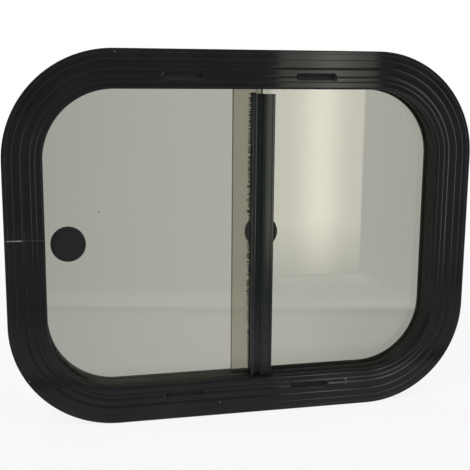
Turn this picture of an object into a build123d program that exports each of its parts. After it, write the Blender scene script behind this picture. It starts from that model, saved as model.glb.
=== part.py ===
from build123d import *
import os

# A two-pane sliding window for a caravan. X runs to the right as seen from outside,
# Y runs into the vehicle and Z is up. The origin is the window's centre on the plane
# of the vehicle's skin, where the back of the frame's flange rests. Millimetres.

# Outer frame: one bent aluminium profile, seen from outside
FRAME_WIDTH = 450.0
FRAME_HEIGHT = 350.0
FRAME_CORNER = 100.0

# Insets are measured inwards from the frame's outer edge
WEB_INSET = 19.0
ROOT_INSET = 26.0
LIP_INSET = 35.0
WALL = 1.5

# Depths along Y behind the skin plane
NOSE_Y = -3.3
FRONT_LIP_Y = 7.5
DIVIDER_FRONT_Y = 14.0
DIVIDER_BACK_Y = 18.8
REAR_LIP_Y = 25.3
FRAME_BACK_Y = 29.5

# Flange and the fine lines that run round its face
RIM_RADIUS = 1.0
NOSE_RADIUS = 1.6
FINE_LINES = (8.6, 24.6, 29.0)
FINE_LINE_WIDTH = 0.8
FINE_LINE_DEPTH = 0.4
SHADOW_LINE = (15.4, 17.8)
SHADOW_LINE_DEPTH = 1.1
LAND_START = 2.4
LAND_START_Y = -1.9

# Drain slots in the face, two above and two below
SLOT_LENGTH = 37.0
SLOT_HEIGHT = 6.0
SLOT_X = 63.0
SLOT_INSET = 24.1
CHAMBER_DEPTH = 3.2

# Butt joint of the bent profile, in the left jamb
SEAM_Z = 5.0
SEAM_GAP = 0.3

# Pilot holes for the screws of an inner clamping ring
SCREW_R = 1.5
SCREW_DEPTH = 12.0
SCREW_INSET = 22.5
RAIL_SCREW_X = 110.0
JAMB_SCREW_Z = 45.0

# Flocked run channels in the two tracks
LINER_WALL = 0.8
LINER_BASE = 1.0
LINER_TIP_INSET = 34.6
LINER_JOINT = 0.3

# Glass panes
GLASS = 4.0
PANE_INSET = 27.6
PANE_SLACK = 0.45
LEFT_PANE_EDGE = 14.2
RIGHT_PANE_EDGE = -11.6
PANE_EDGE_CORNER = 5.0

# Meeting stile on the left pane's right edge
STILE_LEFT = 4.3
STILE_RIGHT = 25.8
STILE_FRONT_Y = 4.5
STILE_SEAT_Y = 7.2
STILE_BEAD = 3.6
STILE_BEAD_DROP = 0.4
STILE_RECESS = 6.6
STILE_RECESS_DEPTH = 1.8
STILE_LEG = 1.5
STILE_WEB_GAP = 0.6
STILE_WEB = 1.6
STILE_BACK_GASKET = 0.95
STILE_TOP_GAP = 6.0
STILE_BOTTOM_GAP = 1.0
BRUSH_WIDTH = 5.0
BRUSH_REACH = 2.7
BRUSH_END = 1.0

# Finger discs, a pair clamped through a hole in each pane
DISC_R = 16.0
DISC_THICK = 1.6
DISC_EDGE = 0.5
INNER_DISC_THICK = 2.0
DISC_RING_R = 13.6
DISC_RING_WIDTH = 0.6
DISC_RING_DEPTH = 0.3
SPINDLE_R = 4.5
GLASS_HOLE_R = 5.0
DISC_FROM_EDGE = 29.0
DISC_OFF_CENTRE = 1.8

# Worked out from the values above
RUN_X = FRAME_WIDTH - 2 * FRAME_CORNER
RUN_Z = FRAME_HEIGHT - 2 * FRAME_CORNER
FRONT_PANE_Y = FRONT_LIP_Y + LINER_WALL + PANE_SLACK
REAR_PANE_Y = DIVIDER_BACK_Y + LINER_WALL + PANE_SLACK
PANE_HALF_WIDTH = FRAME_WIDTH / 2 - PANE_INSET
PANE_HALF_HEIGHT = FRAME_HEIGHT / 2 - PANE_INSET
STILE_TOP = FRAME_HEIGHT / 2 - LIP_INSET - STILE_TOP_GAP
STILE_BOTTOM = STILE_BOTTOM_GAP + LIP_INSET - FRAME_HEIGHT / 2
LEFT_DISC = (DISC_FROM_EDGE - PANE_HALF_WIDTH, -DISC_OFF_CENTRE)
RIGHT_DISC = (DISC_FROM_EDGE + RIGHT_PANE_EDGE, DISC_OFF_CENTRE)
WEB_LEFT = LEFT_PANE_EDGE + STILE_WEB_GAP
WEB_RIGHT = WEB_LEFT + STILE_WEB


def outline(points):
    """Closed flat face through a list of (inset, depth) points."""
    return make_face(Polyline(*points, close=True))


def run_section(section, half_size, run):
    """Section stood upright at the start of a run below the centre."""
    plane = Plane(origin=(-run / 2, 0, -half_size), x_dir=(0, 0, 1), z_dir=(-1, 0, 0))
    return plane * section


def ring(section):
    """Carries a section of inset and depth once round the rounded rectangle."""
    pieces = []
    sides = (
        (0, RUN_X, FRAME_HEIGHT / 2),
        (90, RUN_Z, FRAME_WIDTH / 2),
        (180, RUN_X, FRAME_HEIGHT / 2),
        (270, RUN_Z, FRAME_WIDTH / 2),
    )
    for turn, run, half_size in sides:
        start = run_section(section, half_size, run)
        bar = extrude(start, amount=run, dir=(1, 0, 0))
        axis = Axis((-run / 2, 0, FRAME_CORNER - half_size), (0, 1, 0))
        bend = revolve(start, axis=axis, revolution_arc=90)
        pieces.append(Rot(0, turn, 0) * bar)
        pieces.append(Rot(0, turn, 0) * bend)
    whole = pieces[0].fuse(*pieces[1:])
    return whole.clean().solid()


def face_y(inset):
    """Depth of the frame's face, which rises gently from the rim to the nose."""
    share = (inset - LAND_START) / (LIP_INSET - LAND_START)
    return LAND_START_Y + (NOSE_Y - LAND_START_Y) * share


def groove(start, stop, depth):
    """Four points of a groove with sloping sides in the frame's face."""
    slope = 0.25 * (stop - start)
    floor = face_y((start + stop) / 2) + depth
    return [
        (start, face_y(start)),
        (start + slope, floor),
        (stop - slope, floor),
        (stop, face_y(stop)),
    ]


def fine_groove(middle):
    """Groove of a fine line centred on an inset."""
    half = FINE_LINE_WIDTH / 2
    return groove(middle - half, middle + half, FINE_LINE_DEPTH)


def frame_section():
    """Profile with flange, hollow front lip, divider and rear lip, open to two tracks."""
    first, second, third = FINE_LINES
    points = [(0.0, 0.0), (0.0, -0.8), (LAND_START, LAND_START_Y)]
    points += fine_groove(first)
    points += groove(*SHADOW_LINE, SHADOW_LINE_DEPTH)
    points += fine_groove(second)
    points += fine_groove(third)
    points += [
        (LIP_INSET, face_y(LIP_INSET)),
        (LIP_INSET, FRONT_LIP_Y),
        (ROOT_INSET, FRONT_LIP_Y),
        (ROOT_INSET, DIVIDER_FRONT_Y),
        (LIP_INSET, DIVIDER_FRONT_Y),
        (LIP_INSET, DIVIDER_BACK_Y),
        (ROOT_INSET, DIVIDER_BACK_Y),
        (ROOT_INSET, REAR_LIP_Y),
        (LIP_INSET, REAR_LIP_Y),
        (LIP_INSET, FRAME_BACK_Y),
        (WEB_INSET, FRAME_BACK_Y),
        (WEB_INSET, 0.0),
    ]
    face = outline(points)
    rim = [v for v in face.vertices() if v.X < LAND_START + 0.1 and v.Y < -0.1]
    face = fillet(rim, RIM_RADIUS)
    nose = [v for v in face.vertices() if v.X > LIP_INSET - 0.1 and v.Y < NOSE_Y + 0.1]
    face = fillet(nose, NOSE_RADIUS)
    return face


def chamber_section():
    """Hollow behind the drain slots, inside the front lip."""
    top = face_y(SLOT_INSET) + WALL
    low = WEB_INSET + WALL
    high = LIP_INSET - WALL
    return outline([
        (low, top),
        (high, top),
        (high, top + CHAMBER_DEPTH),
        (low, top + CHAMBER_DEPTH),
    ])


def drill(x, z, radius, start, depth):
    """Round cutter along the depth."""
    plane = Plane(origin=(x, start, z), x_dir=(1, 0, 0), z_dir=(0, 1, 0))
    return extrude(plane * Circle(radius), amount=depth)


def make_frame():
    """Bent profile with its drain slots, butt joint and pilot holes."""
    body = ring(frame_section()) - ring(chamber_section())
    slot_z = FRAME_HEIGHT / 2 - SLOT_INSET
    for x in (-SLOT_X, SLOT_X):
        for z in (-slot_z, slot_z):
            plane = Plane(origin=(x, 2 * NOSE_Y, z), x_dir=(1, 0, 0), z_dir=(0, 1, 0))
            cutter = plane * SlotOverall(SLOT_LENGTH, SLOT_HEIGHT)
            body -= extrude(cutter, amount=face_y(SLOT_INSET) + 2 * WALL - 2 * NOSE_Y)
    rail_z = FRAME_HEIGHT / 2 - SCREW_INSET
    jamb_x = FRAME_WIDTH / 2 - SCREW_INSET
    holes = [(x, z) for x in (-RAIL_SCREW_X, RAIL_SCREW_X) for z in (-rail_z, rail_z)]
    holes += [(x, z) for x in (-jamb_x, jamb_x) for z in (-JAMB_SCREW_Z, JAMB_SCREW_Z)]
    for x, z in holes:
        body -= drill(x, z, SCREW_R, FRAME_BACK_Y - SCREW_DEPTH, SCREW_DEPTH + 1.0)
    cutter = Box(3 * LIP_INSET, 3 * FRAME_BACK_Y, SEAM_GAP)
    seam = Pos(-FRAME_WIDTH / 2, FRAME_BACK_Y / 2, SEAM_Z) * cutter
    return (body - seam).solid()


def liner_section(front, back):
    """Run channel of three walls that lines one track."""
    inner = ROOT_INSET + LINER_BASE
    return outline([
        (ROOT_INSET, front),
        (LINER_TIP_INSET, front),
        (LINER_TIP_INSET, front + LINER_WALL),
        (inner, front + LINER_WALL),
        (inner, back - LINER_WALL),
        (LINER_TIP_INSET, back - LINER_WALL),
        (LINER_TIP_INSET, back),
        (ROOT_INSET, back),
    ])


def make_liners(front, back):
    """Upper and lower lengths of one track's run channel, butted in the jambs."""
    whole = ring(liner_section(front, back))
    size = 2 * FRAME_WIDTH
    shift = (size + LINER_JOINT) / 2
    block = Box(size, size, size)
    upper = (whole & Pos(0, 0, shift) * block).solid()
    lower = (whole & Pos(0, 0, -shift) * block).solid()
    return upper, lower


def make_pane(jamb, edge, disc, start):
    """Pane from its round jamb side to its square meeting edge, drilled for the discs."""
    sheet = RectangleRounded(
        2 * PANE_HALF_WIDTH, 2 * PANE_HALF_HEIGHT, FRAME_CORNER - PANE_INSET
    )
    keep = Rectangle(abs(jamb - edge), 2 * PANE_HALF_HEIGHT)
    sheet &= Pos((jamb + edge) / 2, 0) * keep
    square = [v for v in sheet.vertices() if abs(v.X - edge) < 0.01]
    sheet = fillet(square, PANE_EDGE_CORNER)
    plane = Plane(origin=(0, start, 0), x_dir=(1, 0, 0), z_dir=(0, -1, 0))
    solid = extrude(plane * sheet, amount=-GLASS)
    return solid - drill(*disc, GLASS_HOLE_R, start - 1.0, GLASS + 2.0)


def upright(points, bottom, top):
    """Section of (x, depth) points carried from one height to another."""
    face = Pos(0, 0, bottom) * make_face(Polyline(*points, close=True))
    return extrude(face, amount=top - bottom, dir=(0, 0, 1))


def make_stile():
    """Meeting profile: a grip on the glass and a flange over the other pane."""
    back = FRONT_PANE_Y + GLASS + STILE_BACK_GASKET
    bead_y = STILE_FRONT_Y + STILE_BEAD_DROP
    floor = STILE_FRONT_Y + STILE_RECESS_DEPTH
    recess_left = STILE_LEFT + STILE_BEAD
    recess_right = recess_left + STILE_RECESS
    return upright(
        [
            (STILE_LEFT, bead_y + 0.6),
            (STILE_LEFT + 0.6, bead_y),
            (recess_left - 0.3, bead_y),
            (recess_left, bead_y + 0.3),
            (recess_left, floor),
            (recess_right, floor),
            (recess_right, STILE_FRONT_Y + 0.3),
            (recess_right + 0.3, STILE_FRONT_Y),
            (STILE_RIGHT - 1.0, STILE_FRONT_Y),
            (STILE_RIGHT, STILE_FRONT_Y + 0.8),
            (STILE_RIGHT, STILE_SEAT_Y),
            (WEB_RIGHT, STILE_SEAT_Y),
            (WEB_RIGHT, back + STILE_LEG),
            (STILE_LEFT, back + STILE_LEG),
            (STILE_LEFT, back),
            (WEB_LEFT, back),
            (WEB_LEFT, STILE_SEAT_Y),
            (STILE_LEFT, STILE_SEAT_Y),
        ],
        STILE_BOTTOM,
        STILE_TOP,
    )


def make_stile_gasket():
    """Rubber channel between the stile's grip and the glass."""
    back = FRONT_PANE_Y + GLASS
    left = STILE_LEFT + 0.4
    return upright(
        [
            (left, STILE_SEAT_Y),
            (WEB_LEFT, STILE_SEAT_Y),
            (WEB_LEFT, back + STILE_BACK_GASKET),
            (left, back + STILE_BACK_GASKET),
            (left, back),
            (LEFT_PANE_EDGE, back),
            (LEFT_PANE_EDGE, FRONT_PANE_Y),
            (left, FRONT_PANE_Y),
        ],
        STILE_BOTTOM,
        STILE_TOP,
    )


def make_brush():
    """Pile strip on the back of the stile, facing the other pane."""
    start = FRONT_PANE_Y + GLASS + STILE_BACK_GASKET + STILE_LEG
    left = STILE_LEFT + 0.3
    return upright(
        [
            (left, start),
            (left + BRUSH_WIDTH, start),
            (left + BRUSH_WIDTH, start + BRUSH_REACH),
            (left, start + BRUSH_REACH),
        ],
        STILE_BOTTOM + BRUSH_END,
        STILE_TOP - BRUSH_END,
    )


def make_disc(disc, seat, thick, outwards):
    """Round finger disc on the glass with an eased edge and a fine ring in its face."""
    start = seat - thick if outwards else seat
    face = start if outwards else seat + thick
    body = drill(*disc, DISC_R, start, thick)
    edge = body.edges().filter_by(GeomType.CIRCLE).sort_by(Axis.Y)[0 if outwards else -1]
    body = fillet(edge, DISC_EDGE)
    line = drill(*disc, DISC_RING_R, face - DISC_RING_DEPTH, 2 * DISC_RING_DEPTH)
    line -= drill(*disc, DISC_RING_R - DISC_RING_WIDTH, face - 1.0, 2.0)
    return body - line


def make_spindle(disc, start):
    """Short shaft that clamps a pair of discs through the glass."""
    return drill(*disc, SPINDLE_R, start, GLASS)


front_upper, front_lower = make_liners(FRONT_LIP_Y, DIVIDER_FRONT_Y)
rear_upper, rear_lower = make_liners(DIVIDER_BACK_Y, REAR_LIP_Y)
left_back = FRONT_PANE_Y + GLASS
right_back = REAR_PANE_Y + GLASS

nodes = {
    "outer_frame": make_frame(),
    "front_track_liner_upper": front_upper,
    "front_track_liner_lower": front_lower,
    "rear_track_liner_upper": rear_upper,
    "rear_track_liner_lower": rear_lower,
    "left_pane": make_pane(-PANE_HALF_WIDTH, LEFT_PANE_EDGE, LEFT_DISC, FRONT_PANE_Y),
    "right_pane": make_pane(PANE_HALF_WIDTH, RIGHT_PANE_EDGE, RIGHT_DISC, REAR_PANE_Y),
    "meeting_stile": make_stile(),
    "stile_gasket": make_stile_gasket(),
    "stile_brush": make_brush(),
    "left_outer_disc": make_disc(LEFT_DISC, FRONT_PANE_Y, DISC_THICK, True),
    "left_inner_disc": make_disc(LEFT_DISC, left_back, INNER_DISC_THICK, False),
    "left_disc_spindle": make_spindle(LEFT_DISC, FRONT_PANE_Y),
    "right_outer_disc": make_disc(RIGHT_DISC, REAR_PANE_Y, DISC_THICK, True),
    "right_inner_disc": make_disc(RIGHT_DISC, right_back, INNER_DISC_THICK, False),
    "right_disc_spindle": make_spindle(RIGHT_DISC, REAR_PANE_Y),
}

os.makedirs("parts", exist_ok=True)
for name, shape in nodes.items():
    export_step(shape, f"parts/{name}.step")
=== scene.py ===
"""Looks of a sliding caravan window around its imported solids. Lengths are in millimetres until a
mesh is made. X runs to the right seen from outside, Y into the vehicle and Z up."""
import math

import bmesh
import bpy
import numpy as np
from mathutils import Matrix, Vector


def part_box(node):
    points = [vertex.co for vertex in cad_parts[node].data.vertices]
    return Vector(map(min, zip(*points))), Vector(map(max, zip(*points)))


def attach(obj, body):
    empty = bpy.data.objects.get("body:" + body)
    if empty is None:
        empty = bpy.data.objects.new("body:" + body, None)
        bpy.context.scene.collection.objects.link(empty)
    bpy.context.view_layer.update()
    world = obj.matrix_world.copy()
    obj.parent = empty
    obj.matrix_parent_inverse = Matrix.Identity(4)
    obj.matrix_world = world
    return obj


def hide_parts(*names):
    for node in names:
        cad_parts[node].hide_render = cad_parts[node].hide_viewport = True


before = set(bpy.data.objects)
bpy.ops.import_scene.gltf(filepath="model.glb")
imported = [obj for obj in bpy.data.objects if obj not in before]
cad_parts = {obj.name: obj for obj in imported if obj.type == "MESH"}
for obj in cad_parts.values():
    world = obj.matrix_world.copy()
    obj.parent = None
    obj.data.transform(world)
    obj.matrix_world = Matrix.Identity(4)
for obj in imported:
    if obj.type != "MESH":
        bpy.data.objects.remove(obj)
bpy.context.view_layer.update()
scene = bpy.context.scene
scene.view_settings.view_transform = "Standard"

MM = 0.001
WELD = 1e-6
TINY = 1e-9
PLACE_DIGITS = 6
SHARP = math.radians(36)
rng = np.random.default_rng(11)

# Camera fitted to the photograph, metres and degrees
LENS = 66.741
SENSOR = 36.0
CAMERA_PLACE = (-0.20063, -0.78836, 0.15557)
CAMERA_TURN = (79.3494, -0.4629, -13.2690)


def node_box(node):
    """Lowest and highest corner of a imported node, in millimetres."""
    low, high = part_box(node)
    return np.array(low) / MM, np.array(high) / MM


# Outer frame. Insets run inwards from its outer edge, depths along Y
frame_high = node_box("outer_frame")[1]
HALF_WIDTH = frame_high[0]
HALF_HEIGHT = frame_high[2]
BACK_Y = frame_high[1]
CORNER = 100.0
RUN_X = HALF_WIDTH - CORNER
RUN_Z = HALF_HEIGHT - CORNER
WEB_INSET = 19.0
ROOT_INSET = 26.0
LIP_INSET = 35.0
REAR_LIP_INSET = 36.2
NOSE_INSET = 35.7
NOSE_Y = -3.3
NOSE_R = 2.3
NOSE_BACK_Y = 0.4
GUTTER_INSET = 34.6
GUTTER_Y = 1.3
RIM = 1.0
RIM_SHOULDER = -1.1
FACE_START = 2.4
FACE_START_Y = -1.9
FRONT_LIP_Y = 7.5
DIVIDER_FRONT_Y = 14.0
DIVIDER_BACK_Y = 18.8
REAR_LIP_Y = 25.3
ROLL_SLOPE = 0.47
FINE_NOTCH = (0.06, 0.05, 0.22, 0.2)
SHADOW_NOTCH = (0.5, 0.4, 1.0, 0.6)
LINES = (
    (3.2, 0.5, FINE_NOTCH),
    (8.9, 1.1, FINE_NOTCH),
    (16.4, 2.2, SHADOW_NOTCH),
    (24.95, 3.2, FINE_NOTCH),
    (29.25, 2.0, FINE_NOTCH),
)
SHADOW_LINE = 2
LAST_LINE = 4
SHOULDER = 0.15
SMALL_EASE = 0.06
BOTTOM_EASE = 0.04
BROAD_EASE = 0.7
ROLL_POINTS = 9
ARC_STEPS = 4
BEND_STEPS = 30

# Drain slots and the pilot holes on the back
SLOT_X = 63.0
SLOT_INSET = 24.1
SLOT_LENGTH = 37.0
SLOT_HEIGHT = 6.0
SLOT_ROLL = 0.4
SLOT_DISH = 1.0
SLOT_DEPTH = 4.6
SLOT_MARGIN = 5.4
HOLE_R = 1.5
HOLE_INSET = 22.5
HOLE_DEPTH = 12.0
HOLE_ROLL = 0.2
HOLE_DISH = 0.3
HOLE_MARGIN = 3.0
DISH_SLOPE = 0.216
RAIL_HOLE_X = 110.0
JAMB_HOLE_Z = 45.0
SEAM_Z = 5.0
SEAM_GAP = 0.3


class Wire:
    """A socket that takes part in sums. Each sum adds one Math node."""

    def __init__(self, finish, socket):
        self.maths = finish.maths
        self.socket = socket

    def __add__(self, other):
        return self.maths("ADD", self, other)

    def __radd__(self, other):
        return self.maths("ADD", other, self)

    def __sub__(self, other):
        return self.maths("SUBTRACT", self, other)

    def __rsub__(self, other):
        return self.maths("SUBTRACT", other, self)

    def __mul__(self, other):
        return self.maths("MULTIPLY", self, other)

    def __rmul__(self, other):
        return self.maths("MULTIPLY", other, self)

    def __truediv__(self, other):
        return self.maths("DIVIDE", self, other)

    def __rtruediv__(self, other):
        return self.maths("DIVIDE", other, self)

    def __abs__(self):
        return self.maths("ABSOLUTE", self)


class Finish:
    """The node tree of a material or a world, its holder, built node by node."""

    def __init__(self, holder):
        holder.use_nodes = True
        self.holder = holder
        self.tree = holder.node_tree
        self.tree.nodes.clear()

    def node(self, kind, settings=None, inputs=None):
        """Adds a node, sets its settings, then its sockets, and returns its outputs by name and number."""
        made = self.tree.nodes.new(kind)
        for key, value in (settings or {}).items():
            setattr(made, key, value)
        for key, value in (inputs or {}).items():
            if isinstance(value, Wire):
                self.tree.links.new(value.socket, made.inputs[key])
            else:
                socket = made.inputs[key]
                socket.default_value = (*value, 1.0) if socket.type == "RGBA" else value
        outputs = {}
        for number, socket in enumerate(made.outputs):
            outputs.setdefault(socket.name, Wire(self, socket))
            outputs[number] = Wire(self, socket)
        return outputs

    def maths(self, operation, *values):
        """One Math node on wires and numbers."""
        return self.node("ShaderNodeMath", {"operation": operation}, dict(enumerate(values)))[0]

    def mix(self, factor, first, second):
        """Colour between two colours."""
        inputs = {0: factor, 6: first, 7: second}
        return self.node("ShaderNodeMix", {"data_type": "RGBA"}, inputs)[2]

    def rise(self, value, low, high):
        """Smooth step from 0 at low to 1 at high."""
        settings = {"interpolation_type": "SMOOTHSTEP"}
        inputs = {"Value": value, "From Min": low, "From Max": high}
        return self.node("ShaderNodeMapRange", settings, inputs)[0]

    def place(self):
        """Object coordinates, which are the model's own metres."""
        return self.node("ShaderNodeTexCoord")["Object"]

    def parts(self, vector):
        """X, Y and Z of a vector."""
        outputs = self.node("ShaderNodeSeparateXYZ", None, {0: vector})
        return outputs[0], outputs[1], outputs[2]

    def vector(self, x, y, z):
        """Vector of three numbers or wires."""
        return self.node("ShaderNodeCombineXYZ", None, {0: x, 1: y, 2: z})[0]

    def noise(self, vector, scale=1.0, detail=2.0, rough=0.5):
        """Soft noise between 0 and 1."""
        inputs = {"Vector": vector, "Scale": scale, "Detail": detail, "Roughness": rough}
        return self.node("ShaderNodeTexNoise", None, inputs)[0]

    def dust(self, vector, scale, size, rare):
        """1 on specks about a few of a cloud of points, 0 elsewhere. A speck fades out over the
        stretch size from its point, and points numbered below the stretch rare have none."""
        cloud = self.node("ShaderNodeTexVoronoi", None, {"Vector": vector, "Scale": scale})
        pick = self.parts(cloud["Color"])[0]
        return (1 - self.rise(cloud["Distance"], *size)) * self.rise(pick, *rare)

    def mark(self, name):
        """A number stored at each point of the mesh."""
        return self.node("ShaderNodeAttribute", {"attribute_name": name})["Fac"]

    def bump(self, height, strength, distance):
        """Normal tilted by a height."""
        inputs = {"Height": height, "Strength": strength, "Distance": distance}
        return self.node("ShaderNodeBump", None, inputs)[0]

    def spots(self, place, spots):
        """1 within a few small spots, each a point in metres and a size, 0 outside them."""
        total = 0.0
        for x, y, z, size in spots:
            inputs = {0: place, 1: (x, y, z)}
            away = self.node("ShaderNodeVectorMath", {"operation": "DISTANCE"}, inputs)["Value"]
            total = total + (1 - self.rise(away, SPOT_CORE * size, size))
        return total

    def surface(self, shader):
        """Sends a shader to the material's output and returns the material."""
        self.node("ShaderNodeOutputMaterial", None, {"Surface": shader})
        return self.holder

    def principled(self, **values):
        """Principled shader with its sockets named by plain words joined with underscores."""
        inputs = {key.replace("_", " "): value for key, value in values.items()}
        return self.node("ShaderNodeBsdfPrincipled", None, inputs)[0]

    def coated(self, **values):
        """The material, with a principled shader of these values as its surface."""
        return self.surface(self.principled(**values))


def new_finish(name):
    """The finish of a fresh material."""
    return Finish(bpy.data.materials.new(name))


COOL_GLOSS = (0.88, 1.0, 0.97)
SILL_PALE_TONE = (0.079, 0.084, 0.095)
LOOSE_DUST = (0.2, 0.2, 0.18)
COAT_TONES = ((0.0068, 0.0073, 0.0076), (0.0098, 0.0104, 0.0107))
COAT_EDGE_WEAR_AND_SHEEN = (0.032, 0.0335, 0.0335)
COAT_GROOVE_LIGHT = (0.036, 0.038, 0.038)
COAT_POCKET_LIGHT = (0.033, 0.035, 0.0355)
CHIPPED = (0.3, 0.3, 0.26)
BARE_METAL = (0.62, 0.62, 0.6)
SPOT_CORE = 0.45
CHIPS = (
    (-0.1241, -0.0025, 0.1719, 0.0011),
    (-0.2073, -0.0025, -0.1272, 0.0011),
    (-0.0277, -0.0025, -0.1615, 0.0008),
    (0.1014, -0.0025, -0.1475, 0.0014),
    (0.1030, -0.0025, -0.1500, 0.0008),
    (0.1016, -0.0025, -0.1524, 0.0008),
    (0.1052, -0.0025, -0.1498, 0.0007),
)

# Stretches of the model, in metres, over which a finish changes
SILL_END = (-0.139, -0.128)
FRONT_PANE_BACK = (0.0125, 0.0138)
REAR_LIP_FRONT = (0.0246, 0.0252)
MEETING = (-0.012, 0.012)
SEAM_SIDES = (0.00022, 0.00062)
JAMB_END = (-0.190, -0.1885)
SAWN_START = (-0.2225, -0.2215)
SAWN_STOP = (-0.2115, -0.2085)


def sill_left_paling(f, x, y, z):
    """Share of a paler tone on the sill's left half behind the front pane, halved past the rear lip's
    front and uneven.
    """
    low = 1 - f.rise(z, *SILL_END)
    behind = f.rise(y, *FRONT_PANE_BACK) * (1 - 0.5 * f.rise(y, *REAR_LIP_FRONT))
    left = 1 - f.rise(x, *MEETING)
    uneven = 0.75 + 0.25 * f.noise(f.vector(x * 60, y * 200, 0.0), detail=3.0)
    return low * behind * left * uneven


def frame_coat():
    """Satin black coat over extruded aluminium: die lines along the run, orange peel, dust, chips,
    eased edges and slot rims paler as partly thinner coat and partly painted highlight, painted light
    in the line bottoms and slot pockets, and bare metal where the profile's ends were sawn and butted."""
    f = new_finish("frame_coat")
    place = f.place()
    x, y, z = f.parts(place)
    lines = f.noise(f.vector(f.mark("across") * 2600, f.mark("run") * 5, 0.0), detail=3.0)
    peel = f.noise(place, scale=1500.0)
    cloud = f.noise(place, scale=22.0, detail=4.0)
    tone = f.mix(f.rise(cloud, 0.3, 0.7), *COAT_TONES)
    # Painted highlight: the eased edges and slot rims are paler, partly worn coat and partly standing in
    # for glints along them.
    tone = f.mix(f.mark("edge") * 0.6, tone, COAT_EDGE_WEAR_AND_SHEEN)
    # Painted light: the bottoms of the fine lines are paler, lifting the shade in them.
    tone = f.mix(f.mark("line"), tone, COAT_GROOVE_LIGHT)
    dust = f.dust(place, scale=420.0, size=(0.06, 0.16), rare=(0.86, 0.9))
    tone = f.mix(dust * 0.12, tone, LOOSE_DUST)
    # Painted light: the slot pockets are paler to lift the shade in them, and they are matt.
    pocket = f.mark("pocket")
    tone = f.mix(pocket, tone, COAT_POCKET_LIGHT)
    inner = f.mark("inner")
    # A paler tone on the inner faces past the rear lip's front, and more on the sill's left half.
    rear_paling = 0.3 * f.rise(y, *REAR_LIP_FRONT)
    tone = f.mix(inner * rear_paling, tone, SILL_PALE_TONE)
    tone = f.mix(inner * sill_left_paling(f, x, y, z), tone, SILL_PALE_TONE)
    ragged = f.rise(f.noise(place, scale=2400.0), 0.35, 0.6)
    tone = f.mix(f.spots(place, CHIPS) * ragged * 0.8, tone, CHIPPED)
    beside = 1 - f.rise(abs(z - SEAM_Z * MM), *SEAM_SIDES)
    jamb = 1 - f.rise(x, *JAMB_END)
    worn = f.rise(f.noise(f.vector(x * 300, y * 300, 0.0)), 0.32, 0.62)
    outer = f.rise(x, *SAWN_START) * (1 - f.rise(x, *SAWN_STOP))
    bare = beside * jamb * (0.1 + 0.9 * outer) * (0.35 + 0.65 * worn)
    tone = f.mix(bare, tone, BARE_METAL)
    height = lines * 0.35 + peel * 0.65
    return f.coated(
        Base_Color=tone,
        Roughness=0.055 + 0.035 * lines + 0.025 * cloud + 0.2 * dust + 0.75 * pocket + 0.5 * inner,
        Metallic=bare,
        Normal=f.bump(height, strength=0.12, distance=0.00002),
        Specular_IOR_Level=0.2,
        Specular_Tint=COOL_GLOSS,
    )


STILE_TONES = ((0.0105, 0.0118, 0.0118), (0.0145, 0.016, 0.0155))
STILE_EDGE = (0.045, 0.048, 0.045)
STILE_FACET_HIGHLIGHT = (0.042, 0.045, 0.042)
STILE_RECESS_SHADE = (0.0055, 0.0062, 0.006)
# Heights in metres over which the painted highlight on the bead's facet grows
HIGHLIGHT_HEIGHT = (-0.1, 0.05)


def stile_coat():
    """Satin black coat of the meeting profile with upright die lines and a faint dust film, painted shade
    in the recess and a painted highlight on the bead's facet that grows higher up.
    """
    f = new_finish("stile_coat")
    place = f.place()
    x, y, z = f.parts(place)
    lines = f.noise(f.vector(x * 3000, y * 3000, z * 6), detail=3.0)
    broad = f.noise(f.vector(x * 500, y * 500, z * 3))
    peel = f.noise(place, scale=1500.0)
    tone = f.mix(f.rise(broad, 0.3, 0.7), *STILE_TONES)
    tone = f.mix(f.mark("edge") * 0.25, tone, STILE_EDGE)
    # Painted highlight: the bead's facet is paler, more so higher up.
    facet_highlight = f.mark("facet_highlight") * (0.05 + 0.3 * f.rise(z, *HIGHLIGHT_HEIGHT))
    tone = f.mix(facet_highlight, tone, STILE_FACET_HIGHLIGHT)
    # Painted shade: the recess is darkened.
    recess = f.mark("recess")
    tone = f.mix(recess, tone, STILE_RECESS_SHADE)
    dust = f.dust(place, scale=420.0, size=(0.05, 0.14), rare=(0.88, 0.92))
    tone = f.mix(dust * 0.12, tone, LOOSE_DUST)
    return f.coated(
        Base_Color=tone,
        Roughness=0.075 + 0.035 * lines + 0.2 * dust + 0.03 * recess,
        Normal=f.bump(lines * 0.5 + peel * 0.5, strength=0.12, distance=0.00002),
        Specular_IOR_Level=0.3,
        Specular_Tint=COOL_GLOSS,
    )


FLOCK_TONES = ((0.024, 0.024, 0.0235), (0.06, 0.058, 0.053))
FLOCK_MATTED = (0.08, 0.077, 0.067)
FLOCK_REAR_LIGHT = (0.124, 0.127, 0.132)
FLOCK_PAINTED_SHADE = (0.008, 0.008, 0.008)
FLOCK_SILL_PALE = (0.183, 0.192, 0.212)
REAR_TRACK_FRONT = (0.0182, 0.0192)


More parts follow.
